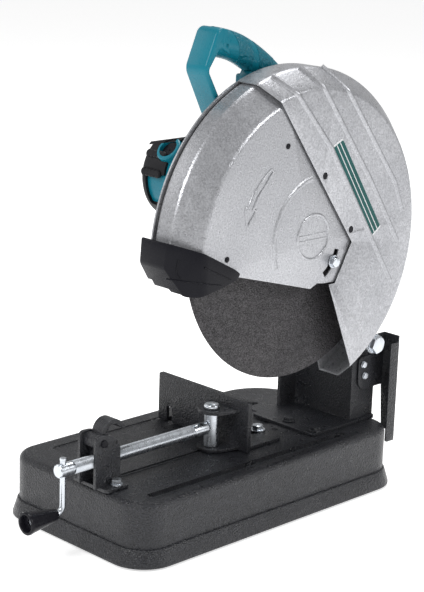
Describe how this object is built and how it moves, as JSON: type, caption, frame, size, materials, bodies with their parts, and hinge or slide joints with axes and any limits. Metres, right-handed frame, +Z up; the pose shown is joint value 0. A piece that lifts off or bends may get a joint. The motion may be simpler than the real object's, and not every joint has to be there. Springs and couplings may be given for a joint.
{
  "type": "abrasive chop saw",
  "caption": "Bench chop saw with a 355 mm abrasive wheel under a silver guard, on a black base with a screw vise.",
  "frame": {"origin": "middle of the saw's bounding box at the level of the bench it stands on", "axes": "+Z up, -Y towards the operator and the vise crank, +X towards the abrasive wheel's side"},
  "size_m": [0.264, 0.556, 0.6014],
  "materials": {
    "powder_black": "wrinkle powder coat",
    "guard_silver": "silver textured powder coat",
    "teal_plastic": "moulded, fine grain",
    "black_plastic": "satin moulded",
    "rubber_black": "matt",
    "zinc_plated": "bright zinc plate",
    "steel": "machined",
    "abrasive": "bonded grit, very rough",
    "copper_winding": "enamelled wire on laminations",
    "carbon": "pressed carbon"
  },
  "bodies": {
    "base": {"base_tray": "powder_black", "foot_front_left": "rubber_black", "foot_front_right": "rubber_black", "foot_rear_right": "rubber_black", "foot_rear_left": "rubber_black", "post_bracket": "powder_black", "post_bolt_1": "powder_black", "post_bolt_2": "powder_black", "rear_shield": "powder_black", "shield_screw_1": "zinc_plated", "shield_screw_2": "zinc_plated", "fence_pivot_bolt": "zinc_plated", "fence_clamp_bolt": "zinc_plated", "vise_bracket": "powder_black", "bracket_bolt_1": "zinc_plated", "bracket_bolt_2": "zinc_plated", "half_nut_pin": "steel", "pivot_bolt": "zinc_plated", "pivot_spacer": "zinc_plated", "pivot_nut": "zinc_plated", "return_spring": "steel"},
    "fence_body": {"fence": "powder_black"},
    "half_nut_body": {"half_nut": "powder_black"},
    "vise_slider": {"jaw_pin": "zinc_plated"},
    "jaw": {"vise_jaw": "powder_black"},
    "screw": {"vise_screw": "zinc_plated", "crank_rod": "zinc_plated"},
    "grip": {"crank_grip": "black_plastic"},
    "head": {"arm_casting": "powder_black", "spindle_bearing_inner": "steel", "spindle_bearing_outer": "steel", "armature_bearing_inner": "steel", "armature_bearing_outer": "steel", "motor_housing": "teal_plastic", "motor_end_cap": "rubber_black", "stator": "copper_winding", "carbon_brush_front": "carbon", "carbon_brush_rear": "carbon", "brush_cap_front": "black_plastic", "brush_cap_rear": "black_plastic", "fixed_guard": "guard_silver", "guard_lock_bolt": "zinc_plated", "handle_left": "teal_plastic", "handle_right": "teal_plastic", "power_switch": "black_plastic", "cord_gland": "rubber_black"},
    "spindle_group": {"spindle": "steel", "drive_gear": "steel", "inner_flange": "steel", "outer_flange": "steel", "flange_bolt": "zinc_plated", "cutting_wheel": "abrasive"},
    "rotor": {"armature": "steel", "cooling_fan": "black_plastic"},
    "moving_guard": {"front_guard": "guard_silver", "nose_deflector": "black_plastic"},
    "trigger_body": {"trigger": "black_plastic"},
    "lock_button_body": {"lock_button": "black_plastic"},
    "shaft_lock": {"shaft_lock_button": "black_plastic"}
  },
  "joints": [
    {"name": "head_pivot", "type": "hinge", "parent": "base", "child": "head", "pos_m": [-0.00205, 0.239, 0.187], "axis": [1, 0, 0], "range_deg": [0, 30.5], "stiffness_Nm_per_rad": 18, "springref_deg": -68.75},
    {"name": "wheel_spin", "type": "hinge", "parent": "head", "child": "spindle_group", "pos_m": [-0.00205, 0.072, 0.358], "axis": [1, 0, 0], "continuous": true},
    {"name": "rotor_spin", "type": "hinge", "parent": "head", "child": "rotor", "pos_m": [-0.00205, 0.087, 0.393], "axis": [1, 0, 0], "continuous": true},
    {"name": "front_guard_turn", "type": "hinge", "parent": "head", "child": "moving_guard", "pos_m": [-0.00205, 0.072, 0.348], "axis": [1, 0, 0], "range_deg": [-14, 0]},
    {"name": "trigger_pull", "type": "hinge", "parent": "head", "child": "trigger_body", "pos_m": [0.04795, 0.041, 0.546], "axis": [1, 0, 0], "range_deg": [0, 8], "stiffness_Nm_per_rad": 0.4, "springref_deg": -17.19},
    {"name": "lock_button_press", "type": "slide", "parent": "head", "child": "lock_button_body", "axis": [1, 0, 0], "range_m": [0, 0.003], "stiffness_N_per_m": 400, "springref_m": -0.004},
    {"name": "shaft_lock_press", "type": "slide", "parent": "head", "child": "shaft_lock", "axis": [0, 1, 0], "range_m": [0, 0.005], "stiffness_N_per_m": 400, "springref_m": -0.006},
    {"name": "half_nut_flip", "type": "hinge", "parent": "base", "child": "half_nut_body", "pos_m": [-0.00205, -0.177, 0.135], "axis": [1, 0, 0], "range_deg": [0, 70]},
    {"name": "vise_slide", "type": "slide", "parent": "base", "child": "vise_slider", "axis": [0, -1, 0], "range_m": [0, 0.12]},
    {"name": "screw_turn", "type": "hinge", "parent": "vise_slider", "child": "screw", "pos_m": [0.03095, 0.039, 0.11], "axis": [0, 1, 0], "continuous": true},
    {"name": "grip_spin", "type": "hinge", "parent": "screw", "child": "grip", "pos_m": [0.03095, -0.256, 0.059], "axis": [0, 1, 0], "continuous": true},
    {"name": "jaw_swivel", "type": "hinge", "parent": "vise_slider", "child": "jaw", "pos_m": [0.03095, 0.011, 0.003], "axis": [0, 0, 1], "range_deg": [0, 15]},
    {"name": "fence_swing", "type": "hinge", "parent": "base", "child": "fence_body", "pos_m": [-0.06405, 0.085, 0.003], "axis": [0, 0, 1], "range_deg": [0, 15]}
  ],
  "couplings": [
    {"joint": "rotor_spin", "follows": "wheel_spin", "ratio": -3.75},
    {"joint": "jaw_swivel", "follows": "fence_swing", "ratio": 1}
  ]
}
